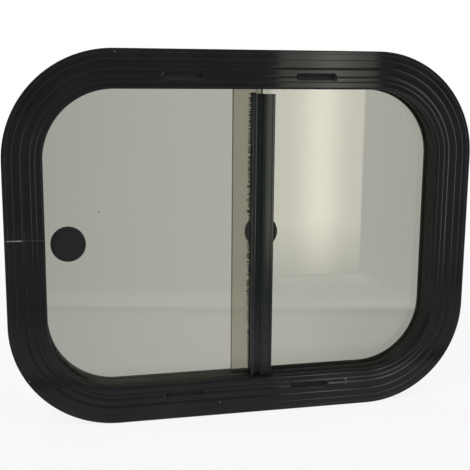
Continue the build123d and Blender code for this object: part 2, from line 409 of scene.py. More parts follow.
def flocked_rubber():
    """Run channel covered with short black flock, dusty at the tips, with painted light in the rear track,
    painted shade in the sill's right half and a paler tone on the sill's left half.
    """
    f = new_finish("flocked_rubber")
    place = f.place()
    x, y, z = f.parts(place)
    flock = f.noise(place, scale=4200.0, detail=3.0, rough=0.7)
    matted = f.noise(place, scale=160.0, detail=3.0)
    tone = f.mix(f.rise(flock, 0.3, 0.75), *FLOCK_TONES)
    tone = f.mix(f.rise(matted, 0.55, 0.8) * 0.4, tone, FLOCK_MATTED)
    # Painted light: the flock in the rear track is paler to lift the shade in it.
    tone = f.mix(f.rise(y, *REAR_TRACK_FRONT) * 0.6, tone, FLOCK_REAR_LIGHT)
    # Painted shade: the flock in the sill's right half is darkened.
    painted_shade = (1 - f.rise(z, *SILL_END)) * f.rise(x, *MEETING)
    tone = f.mix(painted_shade * 0.7, tone, FLOCK_PAINTED_SHADE)
    tone = f.mix(sill_left_paling(f, x, y, z) * 0.8, tone, FLOCK_SILL_PALE)
    return f.coated(
        Base_Color=tone,
        Roughness=0.8 + 0.15 * flock,
        Normal=f.bump(flock, strength=0.8, distance=0.0003),
        Specular_IOR_Level=0.2,
    )


RUBBER_TONES = ((0.007, 0.007, 0.007), (0.017, 0.017, 0.0165))


def gasket_rubber():
    """Soft black rubber with a faint bloom."""
    f = new_finish("gasket_rubber")
    place = f.place()
    grain = f.noise(place, scale=2500.0)
    bloom = f.noise(place, scale=120.0, detail=3.0)
    tone = f.mix(f.rise(bloom, 0.4, 0.75), *RUBBER_TONES)
    return f.coated(
        Base_Color=tone,
        Roughness=0.5 + 0.2 * bloom,
        Normal=f.bump(grain, strength=0.3, distance=0.00004),
        Specular_IOR_Level=0.4,
    )


PILE_TONES = ((0.004, 0.004, 0.0042), (0.016, 0.0155, 0.015))
PILE_TIP = (0.03, 0.029, 0.026)


def brush_pile():
    """Black pile fibres, each with its own tone and paler at the tip."""
    f = new_finish("brush_pile")
    fleck = f.noise(f.place(), scale=1800.0)
    tone = f.mix(f.mark("tone"), *PILE_TONES)
    tone = f.mix(f.mark("tip") * 0.25, tone, PILE_TIP)
    return f.coated(Base_Color=tone, Roughness=0.6 + 0.3 * fleck, Specular_IOR_Level=0.25)


GLASS_TINTS = ((0.585, 0.56, 0.475), (0.605, 0.58, 0.495))
GLASS_DUST = (0.36, 0.35, 0.31)
GLASS_SPECK = (0.2, 0.17, 0.12)
GLASS_EDGE = (0.004, 0.0042, 0.003)
LAMP_TINT = (0.6, 0.57, 0.49)
LEFT_PANE_EDGE = (0.0131, 0.0133)
RIGHT_PANE_EDGE = (-0.0115, -0.0113)
BETWEEN_PANES = (0.0140, 0.0180)
GLASS_SPECKS = (
    (-0.1398, 0.0088, 0.0275, 0.0014),
    (0.1587, 0.0200, 0.1142, 0.0009),
)


def tinted_glass():
    """Bronze safety glass: an even tint, faint smears, dust specks and ground meeting edges.
    Lamps shine through it with the tint."""
    f = new_finish("tinted_glass")
    place = f.place()
    x, y, z = f.parts(place)
    smear = f.noise(f.vector(x * 18, z * 7, y), detail=4.0, rough=0.6)
    dust = f.dust(f.vector(x, 0.0, z), scale=260.0, size=(0.04, 0.1), rare=(0.9, 0.93))
    tint = f.mix(smear, *GLASS_TINTS)
    tint = f.mix(dust * 0.3, tint, GLASS_DUST)
    tint = f.mix(f.spots(place, GLASS_SPECKS) * 0.8, tint, GLASS_SPECK)
    left_edge = f.rise(x, *LEFT_PANE_EDGE)
    right_edge = 1 - f.rise(x, *RIGHT_PANE_EDGE)
    front_pane = 1 - f.rise(y, *BETWEEN_PANES)
    ground = left_edge * front_pane + right_edge * (1 - front_pane)
    tint = f.mix(ground, tint, GLASS_EDGE)
    glass = f.principled(Base_Color=tint, Roughness=0.45 * ground, IOR=1.5, Transmission_Weight=1.0)
    clear = f.node("ShaderNodeBsdfTransparent", None, {"Color": LAMP_TINT})[0]
    lamp_ray = f.node("ShaderNodeLightPath")["Is Shadow Ray"]
    return f.surface(f.node("ShaderNodeMixShader", None, {0: lamp_ray, 1: glass, 2: clear})[0])


PLASTIC_TONES = ((0.0072, 0.007, 0.0072), (0.0095, 0.0093, 0.0095))
PLASTIC_DUST = (0.15, 0.145, 0.13)


def disc_plastic():
    """Matt black moulded plastic with a fine spark texture."""
    f = new_finish("disc_plastic")
    place = f.place()
    spark = f.noise(place, scale=3200.0, rough=0.6)
    cloud = f.noise(place, scale=90.0, detail=3.0)
    tone = f.mix(f.rise(cloud, 0.3, 0.7), *PLASTIC_TONES)
    dust = f.dust(place, scale=500.0, size=(0.05, 0.13), rare=(0.88, 0.92))
    tone = f.mix(dust * 0.2, tone, PLASTIC_DUST)
    return f.coated(
        Base_Color=tone,
        Roughness=0.5 + 0.15 * spark,
        Normal=f.bump(spark, strength=0.35, distance=0.00005),
        Specular_IOR_Level=0.35,
    )


FINISHES = {
    "frame_coat": frame_coat(),
    "stile_coat": stile_coat(),
    "flocked_rubber": flocked_rubber(),
    "gasket_rubber": gasket_rubber(),
    "pile": brush_pile(),
    "tinted_glass": tinted_glass(),
    "disc_plastic": disc_plastic(),
}


def grid_quads(rows, columns, round_rows=False, round_columns=False):
    """Corner numbers of the quads between neighbouring points of a grid numbered row by row."""
    row = np.arange(rows if round_rows else rows - 1)[:, None]
    column = np.arange(columns if round_columns else columns - 1)[None, :]
    next_row = (row + 1) % rows
    next_column = (column + 1) % columns
    corners = [
        row * columns + column,
        row * columns + next_column,
        next_row * columns + next_column,
        next_row * columns + column,
    ]
    return np.stack(corners, axis=-1).reshape(-1, 4)


def joined(x, y, z):
    """Points of three arrays spread over each other, row by row."""
    return np.stack(np.broadcast_arrays(x, y, z), axis=-1).reshape(-1, 3)


def end_faces(rows, columns, first=0):
    """The two flat ends of a tube of points numbered row by row from first."""
    last = first + (rows - 1) * columns
    return [list(range(first, first + columns)), list(range(last, last + columns))]


def way_along(points):
    """Length of a path up to each of its points."""
    steps = np.linalg.norm(np.diff(points, axis=0), axis=1)
    return np.concatenate([[0], np.cumsum(steps)])


def eased(corners):
    """Closed outline of (first, second, radius) corners, each an arc of its radius.

    An arc starts and stops radius times the tangent of half its turn from the corner, and between
    them it is a rational quadratic whose middle weight is the cosine of half the turn."""
    corners = np.asarray(corners, float)
    point = corners[:, :2]
    back = np.roll(point, 1, axis=0) - point
    ahead = np.roll(point, -1, axis=0) - point
    back /= np.linalg.norm(back, axis=1)[:, None]
    ahead /= np.linalg.norm(ahead, axis=1)[:, None]
    half_turn = (np.pi - np.arccos(np.clip((back * ahead).sum(axis=1), -1, 1))) / 2
    reach = (corners[:, 2] * np.tan(half_turn))[:, None]
    start = (point + back * reach)[:, None]
    stop = (point + ahead * reach)[:, None]
    u = np.linspace(0, 1, ARC_STEPS + 1)[None, :, None]
    weight = 2 * np.cos(half_turn)[:, None, None] * u * (1 - u)
    whole = (1 - u) ** 2 + weight + u**2
    arcs = ((1 - u) ** 2 * start + weight * point[:, None] + u**2 * stop) / whole
    return arcs.reshape(-1, 2)


def edge_marks(corners):
    """1 at the middle of each narrow eased corner of an outline, 0 at its ends and elsewhere."""
    u = np.linspace(0, 1, ARC_STEPS + 1)
    radius = np.asarray(corners)[:, 2]
    narrow = (radius > 0) & (radius < BROAD_EASE)
    return (narrow[:, None] * (4 * u * (1 - u))).ravel()


def add_piece(name, points, faces, slot, body, stands_for, marks=None):
    """Makes a piece of points in millimetres: closes its seams, turns its faces outwards, shades it
    smooth between sharp edges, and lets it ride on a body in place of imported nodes."""
    mesh = bpy.data.meshes.new(name)
    mesh.from_pydata((np.asarray(points) * MM).tolist(), [], faces)
    for mark, values in (marks or {}).items():
        layer = mesh.attributes.new(mark, "FLOAT", "POINT")
        layer.data.foreach_set("value", np.asarray(values, np.float32))
    work = bmesh.new()
    work.from_mesh(mesh)
    bmesh.ops.remove_doubles(work, verts=work.verts, dist=WELD)
    bmesh.ops.recalc_face_normals(work, faces=work.faces)
    work.to_mesh(mesh)
    work.free()
    mesh.shade_smooth()
    mesh.set_sharp_from_angle(angle=SHARP)
    mesh.materials.append(FINISHES[slot])
    piece = bpy.data.objects.new(name, mesh)
    scene.collection.objects.link(piece)
    even = piece.modifiers.new("even_normals", "WEIGHTED_NORMAL")
    even.keep_sharp = True
    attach(piece, body)
    if stands_for:
        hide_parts(*stands_for)


def face_y(inset):
    """Depth of the frame's face, which rises in a straight line from the rim to the nose."""
    share = (inset - FACE_START) / (LIP_INSET - FACE_START)
    return FACE_START_Y + (NOSE_Y - FACE_START_Y) * share


def rolled_end(stop, roll):
    """Points of a band of the face over the last stretch before its end, where its slope away from
    the face grows evenly from nothing."""
    t = np.linspace(0, 1, ROLL_POINTS, endpoint=False)
    inset = stop - roll * (1 - t)
    depth = face_y(inset) + ROLL_SLOPE * roll * t**2 / 2
    return [(i, d, 0.0) for i, d in zip(inset, depth)]


def groove(start, roll, notch):
    """Three eased corners of a line in the face: the rolled end of a band, the bottom of a notch,
    and the top of a steep wall where the next band starts."""
    width, depth, wall, shoulder = notch
    top = face_y(start) + ROLL_SLOPE * roll / 2
    low = start + width
    return [
        (start, top, SMALL_EASE),
        (low, top + depth, BOTTOM_EASE),
        (low + wall, face_y(low + wall), shoulder),
    ]


def frame_corners():
    """Corners of the frame's section as (inset, depth, easing radius)."""
    corners = [(0.0, 0.0, 0.1), (0.0, RIM_SHOULDER, 0.5), (RIM, face_y(RIM), 0.5)]
    for start, roll, notch in LINES:
        corners += rolled_end(start, roll)
        corners += groove(start, roll, notch)
    return corners + [
        (NOSE_INSET, NOSE_Y, NOSE_R),
        (NOSE_INSET, NOSE_BACK_Y, 0.4),
        (GUTTER_INSET, GUTTER_Y, 0.4),
        (GUTTER_INSET, FRONT_LIP_Y, 0.3),
        (ROOT_INSET, FRONT_LIP_Y, 0.2),
        (ROOT_INSET, DIVIDER_FRONT_Y, 0.2),
        (LIP_INSET, DIVIDER_FRONT_Y, 0.4),
        (LIP_INSET, DIVIDER_BACK_Y, 0.4),
        (ROOT_INSET, DIVIDER_BACK_Y, 0.2),
        (ROOT_INSET, REAR_LIP_Y, 0.2),
        (REAR_LIP_INSET, REAR_LIP_Y, 0.4),
        (REAR_LIP_INSET, BACK_Y, 0.3),
        (WEB_INSET, BACK_Y, 0.4),
        (WEB_INSET, 0.0, 0.2),
    ]


RIM_CORNERS = 3
BAND = ROLL_POINTS + 3
SHADOW_END_CORNER = RIM_CORNERS + (SHADOW_LINE + 1) * BAND - 1
LAST_LINE_CORNER = RIM_CORNERS + LAST_LINE * BAND + ROLL_POINTS
LINE_BOTTOMS = RIM_CORNERS + BAND * np.arange(len(LINES)) + ROLL_POINTS + 1
BACK_INNER_CORNER = -3
BACK_OUTER_CORNER = -2

# Rows of points down into a slot or hole, and rays in a quarter of its end
ROLL_ROWS = 6
DISH_WAY = np.array([0.0, 0.12, 0.88])
ROWS_BEFORE_ROLL = np.zeros(1 + DISH_WAY.size)
ROWS_OF_FLOOR = 3
END_RAYS = 4
RIM_WEAR_AND_SHEEN_PEAK = 0.6
# Paleness of a slot's rim by row, partly worn coat and partly painted highlight
RIM_WEAR_AND_SHEEN = np.concatenate([
    ROWS_BEFORE_ROLL,
    RIM_WEAR_AND_SHEEN_PEAK * np.sin(np.linspace(0, np.pi, ROLL_ROWS)),
    np.zeros(ROWS_OF_FLOOR),
])
# Share of the pocket by row: matt there, and paler as painted light
POCKET = np.concatenate([ROWS_BEFORE_ROLL, np.linspace(0, 1, ROLL_ROWS), np.ones(ROWS_OF_FLOOR)])


def mouth(strip, inset, half_run, radius, margin, dish, roll, depth):
    """Skin round a punched slot, from the edges of a strip of the section down to a floor.

    Rays leave the centres of the slot's round ends. Along each ray the skin runs from the strip's
    edge to the slot, slopes down over a dished rim, turns down over a round of radius roll, drops
    to the floor and runs in to the middle. A strip is the section's points beside the slot; depth
    is signed along Y.
    Returns along, inset and depth of the rings, and the places along its two long edges."""
    strip = strip[np.argsort(strip[:, 0])]
    offsets = strip[:, 0] - inset
    way = np.linspace(0, margin, END_RAYS, endpoint=False)
    below = np.arctan2(offsets[0], way)
    above = np.arctan2(offsets[-1], way)[::-1]
    turn = np.concatenate([below, np.arctan2(offsets, margin), above])
    cos, sin = np.cos(turn), np.sin(turn)
    sideways = margin / np.maximum(cos, TINY)
    across = np.where(turn < 0, offsets[0], offsets[-1]) / np.where(np.abs(sin) < TINY, TINY, sin)
    reach = np.minimum(sideways, np.where(across > 0, across, np.inf))
    ray_along = np.concatenate([cos, -cos[::-1]])
    ray_inset = np.concatenate([sin, sin[::-1]])
    centre = np.concatenate([np.full(turn.size, half_run), np.full(turn.size, -half_run)])
    reach = np.concatenate([reach, reach[::-1]])[None, :]
    tilt = np.arctan(DISH_SLOPE)
    turn_down = np.linspace(tilt, np.pi / 2, ROLL_ROWS)
    rolled = radius + roll * (1 - np.sin(turn_down))
    sunk = DISH_SLOPE * dish + roll * (np.cos(tilt) - np.cos(turn_down))
    dished = rolled[0] + dish * (1 - DISH_WAY)
    inner = np.concatenate([dished, rolled, [radius, 0.5 * radius, 0.0]])
    out = np.concatenate([reach, inner[:, None] + 0 * reach])
    sink = np.concatenate([[0], DISH_SLOPE * dish * DISH_WAY, sunk])
    along = centre + ray_along * out
    insets = inset + ray_inset * out
    skin = np.interp(insets[: sink.size], strip[:, 0], strip[:, 1])
    skin = skin + np.sign(depth) * sink[:, None]
    middle = np.interp(inset, strip[:, 0], strip[:, 1])
    floor = np.full((ROWS_OF_FLOOR, skin.shape[1]), middle + depth)
    return along, insets, np.concatenate([skin, floor]), np.unique(np.round(along[0], PLACE_DIGITS))


def on_side(outward, along, inset, depth):
    """Points beside one straight side: along it, inwards from its outer edge, and in depth."""
    if outward[0]:
        return joined(outward[0] * (HALF_WIDTH - inset), depth, along)
    return joined(along, depth, outward[1] * (HALF_HEIGHT - inset))


def groove_light_marks(corners):
    """How much painted light lifts the shade at each point of the section: most at the bottoms of the
    fine lines, less on the edges before them, and little in the deep line."""
    bottoms = np.zeros(len(corners))
    bottoms[LINE_BOTTOMS] = 1.0
    bottoms[LINE_BOTTOMS - 1] = 0.6
    bottoms[LINE_BOTTOMS[SHADOW_LINE]] = 0.3
    bottoms[LINE_BOTTOMS[SHADOW_LINE] - 1] = 0.0
    return np.repeat(bottoms, ARC_STEPS + 1)


def frame_runs(section):
    """The straight runs of the frame from its butt joint round to it: outward direction, start, stop
    and the mouths let into the run, as (place, rings, numbers of the section's points)."""
    pitch = ARC_STEPS + 1
    front = np.arange(SHADOW_END_CORNER * pitch + ARC_STEPS, LAST_LINE_CORNER * pitch + 1)
    back_start = len(section) + BACK_INNER_CORNER * pitch + ARC_STEPS
    back = np.arange(back_start, len(section) + BACK_OUTER_CORNER * pitch + 1)
    half_run = (SLOT_LENGTH - SLOT_HEIGHT) / 2
    slot_form = (half_run, SLOT_HEIGHT / 2, SLOT_MARGIN, SLOT_DISH, SLOT_ROLL, SLOT_DEPTH)
    hole_form = (0.0, HOLE_R, HOLE_MARGIN, HOLE_DISH, HOLE_ROLL, -HOLE_DEPTH)
    slot = mouth(section[front], SLOT_INSET, *slot_form)
    hole = mouth(section[back], HOLE_INSET, *hole_form)
    rail = [(place, slot, front) for place in (-SLOT_X, SLOT_X)]
    rail += [(place, hole, back) for place in (-RAIL_HOLE_X, RAIL_HOLE_X)]
    jamb = [(place, hole, back) for place in (-JAMB_HOLE_Z, JAMB_HOLE_Z)]
    return (
        ((-1, 0), SEAM_Z + SEAM_GAP / 2, RUN_Z, jamb),
        ((0, 1), -RUN_X, RUN_X, rail),
        ((1, 0), RUN_Z, -RUN_Z, jamb),
        ((0, -1), RUN_X, -RUN_X, rail),
        ((-1, 0), -RUN_Z, SEAM_Z - SEAM_GAP / 2, jamb),
    )


def frame_path(runs):
    """Steps of the frame's path: the section's centre, its outward direction, the number of the run
    or -1 on a bend, and the place along the run. On a run the centre moves, and round a bend the
    direction turns."""
    centres, outwards, numbers, places = [], [], [], []
    for number, (outward, start, stop, mouths) in enumerate(runs):
        low, high = min(start, stop), max(start, stop)
        stops = np.concatenate([[start, stop]] + [place + rings[3] for place, rings, _ in mouths])
        stops = np.unique(np.round(stops[(stops >= low) & (stops <= high)], PLACE_DIGITS))
        stops = stops if stop > start else stops[::-1]
        fixed = np.full(stops.size, outward[0] * RUN_X + outward[1] * RUN_Z)
        centres.append(np.stack([fixed, stops] if outward[0] else [stops, fixed], axis=1))
        outwards.append(np.tile(np.array(outward, float), (stops.size, 1)))
        numbers.append(np.full(stops.size, number))
        places.append(stops)
        if number < len(runs) - 1:
            turn = np.pi - number * np.pi / 2 - np.linspace(0, np.pi / 2, BEND_STEPS + 1)[1:-1]
            outwards.append(np.stack([np.cos(turn), np.sin(turn)], axis=1))
            centres.append(np.tile(centres[-1][-1], (turn.size, 1)))
            numbers.append(np.full(turn.size, -1))
            places.append(np.zeros(turn.size))
    return [np.concatenate(steps) for steps in (centres, outwards, numbers, places)]


def build_frame():
    """One closed skin: the section carried up the left jamb, round the four bends and back to the
    butt joint, with the slots and pilot holes let into it.

    A point of the skin is the path's centre plus (corner radius minus inset) times the outward
    direction."""
    corners = frame_corners()
    section = eased(corners)
    runs = frame_runs(section)
    centre, outward, side, along = frame_path(runs)
    length = way_along(section)
    run = way_along(centre + (CORNER - SLOT_INSET) * outward)
    flat = centre[:, None] + (CORNER - section[None, :, :1]) * outward[:, None]
    points = [joined(flat[..., 0], section[:, 1], flat[..., 1])]
    rows, columns = flat.shape[:2]
    inner = (section[:, 0] > ROOT_INSET - 1) & (section[:, 1] > NOSE_Y + NOSE_R)
    inner &= section[:, 1] < BACK_Y - 0.1
    marks = {
        "run": [np.repeat(run, columns)],
        "across": [np.tile(length, rows)],
        "edge": [np.tile(edge_marks(corners), rows)],
        "inner": [np.tile(inner.astype(float), rows)],
        "line": [np.tile(groove_light_marks(corners), rows)],
        "pocket": [np.zeros(rows * columns)],
    }
    quads = grid_quads(rows, columns, round_columns=True)
    keep = np.ones((rows - 1, columns), bool)
    patches = []
    count = rows * columns
    for number, (direction, start, stop, mouths) in enumerate(runs):
        here = np.flatnonzero(side == number)
        order = here[np.argsort(along[here])]
        on_run = (side[:-1] == number) & (side[1:] == number)
        middle = (along[:-1] + along[1:]) / 2
        for place, (ring_along, ring_inset, ring_depth, edges), band in mouths:
            low, high = place + edges[0], place + edges[-1]
            if low < min(start, stop) or high > max(start, stop):
                continue
            spans = on_run & (middle > low) & (middle < high)
            keep[np.ix_(spans, band[:-1])] = False
            points.append(on_side(direction, place + ring_along, ring_inset, ring_depth))
            by_inset = band[np.argsort(section[band, 0])]
            across = np.interp(ring_inset, section[by_inset, 0], length[by_inset])
            plain = np.zeros(ring_inset.size)
            marks["run"].append(np.interp(place + ring_along, along[order], run[order]).ravel())
            marks["across"].append(across.ravel())
            marks["edge"].append(np.repeat(RIM_WEAR_AND_SHEEN, ring_inset.shape[1]))
            marks["inner"].append(plain)
            marks["line"].append(plain)
            marks["pocket"].append(np.repeat(POCKET, ring_inset.shape[1]))
            patches.append(count + grid_quads(*ring_inset.shape, round_columns=True))
            count += ring_inset.size
    faces = np.concatenate([quads[keep.ravel()]] + patches).tolist() + end_faces(rows, columns)
    points = np.concatenate(points)
    marks = {name: np.concatenate(values) for name, values in marks.items()}
    marks["run"] *= MM
    marks["across"] *= MM
    add_piece("frame_profile", points, faces, "frame_coat", "frame", ["outer_frame"], marks)


stile_low, stile_high = node_box("meeting_stile")
STILE_BEAD = 3.9
STILE_BEAD_DROP = 0.4
STILE_RECESS = 6.2
STILE_RECESS_DEPTH = 1.8
STILE_RECESS_LEAN = 0.3
STILE_TOP_RISE = 0.9
STILE_FOOT_DROP = 1.0
GRIP_FOOT_DROP = 0.2
GRIP_SINK = 0.05
STILE_SEAT = 2.7
STILE_LEG = 1.5
STILE_WEB_LEFT = 14.8
STILE_WEB = 1.6
RIBS = ((16.3, 0.9, 0.35), (18.5, 0.5, 0.15), (22.8, 1.3, 0.5))
RIB_SHAPE = ((-0.5, 0, SHOULDER), (-0.25, 1, SMALL_EASE), (0.25, 1, SMALL_EASE), (0.5, 0, SHOULDER))
BEAD_FACET = 0.5
BEAD_FLAT = 0.7
BEAD_LIP = 0.3
FACET_CORNERS = slice(0, 2)
RECESS_CORNERS = slice(6, 8)
BEAD_ROLL = 0.65
BEAD_ROLL_DROP = 0.035
BEAD_CORNER = 0.15
FLANGE_BREAK = 17.0
FLANGE_SLOPE = 0.0175
STILE_ROWS = 24


def upright(corners, foot, head, rows, first):
    """Points and faces of an eased outline of (x, depth) carried straight up between two flat ends.
    Faces number their points from first."""
    section = eased(corners)
    columns = len(section)
    points = joined(section[:, 0], section[:, 1], np.linspace(foot, head, rows)[:, None])
    faces = (first + grid_quads(rows, columns, round_columns=True)).tolist()
    return points, faces + end_faces(rows, columns, first)


def flange_y(x):
    """Depth of the stile's flange, flat at first and then falling away evenly to the right."""
    return stile_low[1] + FLANGE_SLOPE * max(x - FLANGE_BREAK, 0.0)


def corner_marks(corners, marked):
    """1 along the marked corners of the stile's band, 0 elsewhere, row by row."""
    values = np.zeros(len(corners))
    values[marked] = 1.0
    return np.tile(np.repeat(values, ARC_STEPS + 1), STILE_ROWS)


def build_stile():
    """Meeting profile: a front band with bead, recess and ribbed flange, and an angle behind it
    that grips the glass, each a section carried straight up."""
    left, right = stile_low[0], stile_high[0]
    front, back = stile_low[1], stile_high[1]
    bead = front + STILE_BEAD_DROP
    seat = front + STILE_SEAT
    floor = front + STILE_RECESS_DEPTH
    recess_left = left + STILE_BEAD
    recess_right = recess_left + STILE_RECESS
    head = stile_high[2] + STILE_TOP_RISE
    bead_end = recess_left - BEAD_CORNER
    corners = [
        (left, bead + BEAD_FACET, 0.2),
        (left + BEAD_FACET, bead, 0.2),
        (left + BEAD_FLAT, bead, 0.0),
        (bead_end - BEAD_ROLL, bead, 0.1),
        (bead_end, bead + BEAD_ROLL_DROP, 0.05),
        (recess_left, bead + BEAD_LIP, 0.1),
        (recess_left, floor + STILE_RECESS_LEAN, 0.25),
        (recess_right, floor, 0.25),
        (recess_right, front, 0.35),
    ]
    for middle, width, depth in RIBS:
        for across, share, ease in RIB_SHAPE:
            x = middle + across * width
            corners.append((x, flange_y(x) + share * depth, ease))
    corners += [(right, flange_y(right), 0.9), (right, seat, 0.3), (left, seat, 0.3)]
    web_right = STILE_WEB_LEFT + STILE_WEB
    grip = [
        (STILE_WEB_LEFT, seat - GRIP_SINK, 0.0),
        (web_right, seat - GRIP_SINK, 0.0),
        (web_right, back, 0.4),
        (left, back, 0.4),
        (left, back - STILE_LEG, 0.3),
        (STILE_WEB_LEFT, back - STILE_LEG, 0.2),
    ]
    band_points, band_faces = upright(corners, stile_low[2] - STILE_FOOT_DROP, head, STILE_ROWS, 0)
    grip_foot = stile_low[2] - GRIP_FOOT_DROP
    grip_points, grip_faces = upright(grip, grip_foot, head, STILE_ROWS, len(band_points))
    edge = [np.tile(edge_marks(outline), STILE_ROWS) for outline in (corners, grip)]
    unmarked = np.zeros(len(grip_points))
    marks = {
        "edge": np.concatenate(edge),
        "recess": np.append(corner_marks(corners, RECESS_CORNERS), unmarked),
        "facet_highlight": np.append(corner_marks(corners, FACET_CORNERS), unmarked),
    }
    points = np.concatenate([band_points, grip_points])
    faces = band_faces + grip_faces
    add_piece("stile_profile", points, faces, "stile_coat", "left_sash", ["meeting_stile"], marks)


brush_low, brush_high = node_box("stile_brush")
disc_low, disc_high = node_box("right_outer_disc")
right_glass_low = node_box("right_pane")[0]
TUFT_ROWS = 3
TUFT_PITCH = 2.2
TUFT_FIBRES = 24
TUFT_R = 0.6
FIBRE_R = 0.19
FIBRE_LEVELS = 4
TUFT_START = 0.14
TUFT_STEP = 0.36
TUFT_STRAY = (0.25, 0.5)
LEAN_BACK = 1.2
LEAN_STRAY = (0.6, 0.5)
BEND_STRAY = (0.3, 0.2)
BEND_LIMITS = (-4.4, 3.0)
SHORTEST = 0.8
ROOT_SINK = 0.1
BACKING_TONE = 0.3
END_SPLAY = 1.0
HEAD_LEAN = 1.3
WORN_LEAN = 2.1
GATHER = 0.8
FIBRE_TAPER = 0.35
BACKING = 0.9
BRUSH_RISE = 3.2
GLASS_GAP = 0.25
DISC_GAP = 0.25
DISC_MARGIN = 2.5


def per_fibre(values):
    """Values of the tufts, repeated for each fibre of a tuft."""
    return np.repeat(values, TUFT_FIBRES)


def build_brush():
    """Pile strip: a backing band and tufts of tapering three-sided fibres.

    A fibre leaves its root straight out and bends sideways with the square of the way along it.
    Roots stand evenly along the strip, and the tips of a tuft share most of their bend and gather
    towards its middle. They reach nearly to the glass, and are pressed shorter along the height
    where the other pane's disc passes under them."""
    left, right = brush_low[0], brush_high[0]
    start = brush_low[1]
    head = brush_high[2] + BRUSH_RISE
    columns = int((head - brush_low[2]) / TUFT_PITCH)
    tufts = TUFT_ROWS * columns
    row = np.repeat(np.arange(TUFT_ROWS), columns)
    tuft_x = left + (right - left) * (TUFT_START + TUFT_STEP * row)
    tuft_x = tuft_x + rng.uniform(-TUFT_STRAY[0], TUFT_STRAY[0], tufts)
    tuft_z = brush_low[2] + TUFT_PITCH * (np.tile(np.arange(columns), TUFT_ROWS) + 0.5)
    tuft_z = tuft_z + rng.uniform(-TUFT_STRAY[1], TUFT_STRAY[1], tufts)
    lean_x = row - LEAN_BACK + rng.normal(0, LEAN_STRAY[0], tufts)
    share = (tuft_z - brush_low[2]) / (head - brush_low[2])
    worn = WORN_LEAN * np.sin(np.pi * share) * rng.uniform(0, 1, tufts)
    lean_x = np.where(row == 0, -(HEAD_LEAN * share + worn), lean_x)
    splay = np.where(tuft_z > head - TUFT_PITCH, END_SPLAY, 0)
    lean_z = rng.normal(0, LEAN_STRAY[1], tufts) + splay
    near_disc = (tuft_z > disc_low[2] - DISC_MARGIN) & (tuft_z < disc_high[2] + DISC_MARGIN)
    stop = np.where(near_disc, disc_low[1] - DISC_GAP, right_glass_low[1] - GLASS_GAP)
    fibres = tufts * TUFT_FIBRES
    beside = rng.uniform(-0.5, 0.5, fibres) * TUFT_PITCH
    root_x = per_fibre(tuft_x) + rng.uniform(-TUFT_R, TUFT_R, fibres)
    root_z = per_fibre(tuft_z) + beside
    reach = (per_fibre(stop) - start - BACKING) * rng.uniform(SHORTEST, 1.0, fibres)
    bend_x = np.clip(per_fibre(lean_x) + rng.normal(0, BEND_STRAY[0], fibres), *BEND_LIMITS)
    bend_z = per_fibre(lean_z) - GATHER * beside + rng.normal(0, BEND_STRAY[1], fibres)
    level = np.linspace(0, 1, FIBRE_LEVELS)[None, :, None]
    side = np.array([0.0, 2 * np.pi / 3, 4 * np.pi / 3])[None, None, :]
    width = FIBRE_R * (1 - FIBRE_TAPER * level)
    shape = (fibres, FIBRE_LEVELS, 3)
    x = root_x[:, None, None] + bend_x[:, None, None] * level**2 + width * np.cos(side)
    y = start + BACKING - ROOT_SINK + reach[:, None, None] * level
    z = root_z[:, None, None] + bend_z[:, None, None] * level**2 + width * np.sin(side)
    points = joined(x, y, z)
    quads = grid_quads(FIBRE_LEVELS, 3, round_columns=True)
    first = np.arange(fibres)[:, None, None] * (FIBRE_LEVELS * 3)
    faces = (first + quads).reshape(-1, 4).tolist()
    roots = np.arange(fibres)[:, None] * (FIBRE_LEVELS * 3) + np.arange(3)
    faces += roots.tolist() + (roots + (FIBRE_LEVELS - 1) * 3).tolist()
    tone = np.broadcast_to(rng.uniform(0, 1, fibres)[:, None, None], shape).ravel()
    tip = np.broadcast_to(level**3, shape).ravel()
    band = [
        (left, start, 0.15),
        (right, start, 0.15),
        (right, start + BACKING, 0.25),
        (left, start + BACKING, 0.25),
    ]
    strip, strip_faces = upright(band, brush_low[2], head, 2, len(points))
    faces += strip_faces
    marks = {
        "tone": np.concatenate([tone, np.full(len(strip), BACKING_TONE)]),
        "tip": np.concatenate([tip, np.zeros(len(strip))]),
    }
    points = np.concatenate([points, strip])
    add_piece("brush_strip", points, faces, "pile", "left_sash", ["stile_brush"], marks)


TAIL_START = (12.4, 8.0, 133.4)
TAIL_STOP = (7.6, 7.8, 139.6)
TAIL_R = 0.42
TAIL_ROWS = 12
TAIL_SIDES = 8
TAIL_TAPER = 0.6
TAIL_CURVE = 1.3


def build_gasket_tail():
    """Loose end of the gasket's lip above the stile: a round section that thins towards its tip,
    carried along a path whose height grows faster than its way to the left."""
    u = np.linspace(0, 1, TAIL_ROWS)[:, None]
    turn = np.linspace(0, 2 * np.pi, TAIL_SIDES, endpoint=False)
    radius = TAIL_R * (1 - TAIL_TAPER * u)
    x = TAIL_START[0] + (TAIL_STOP[0] - TAIL_START[0]) * u + radius * np.cos(turn)
    y = TAIL_START[1] + (TAIL_STOP[1] - TAIL_START[1]) * u + radius * np.sin(turn)
    z = TAIL_START[2] + (TAIL_STOP[2] - TAIL_START[2]) * u**TAIL_CURVE + radius * np.cos(turn)
    points = joined(x, y, z)
    faces = grid_quads(TAIL_ROWS, TAIL_SIDES, round_columns=True).tolist()
    faces += end_faces(TAIL_ROWS, TAIL_SIDES)
    add_piece("gasket_tail", points, faces, "gasket_rubber", "left_sash", [])


DISC_RING_R = 13.6
DISC_RING_WIDTH = 0.6
DISC_RING_DEPTH = 0.3
DISC_RING_LEAN = 0.15
DISC_STEPS = 120


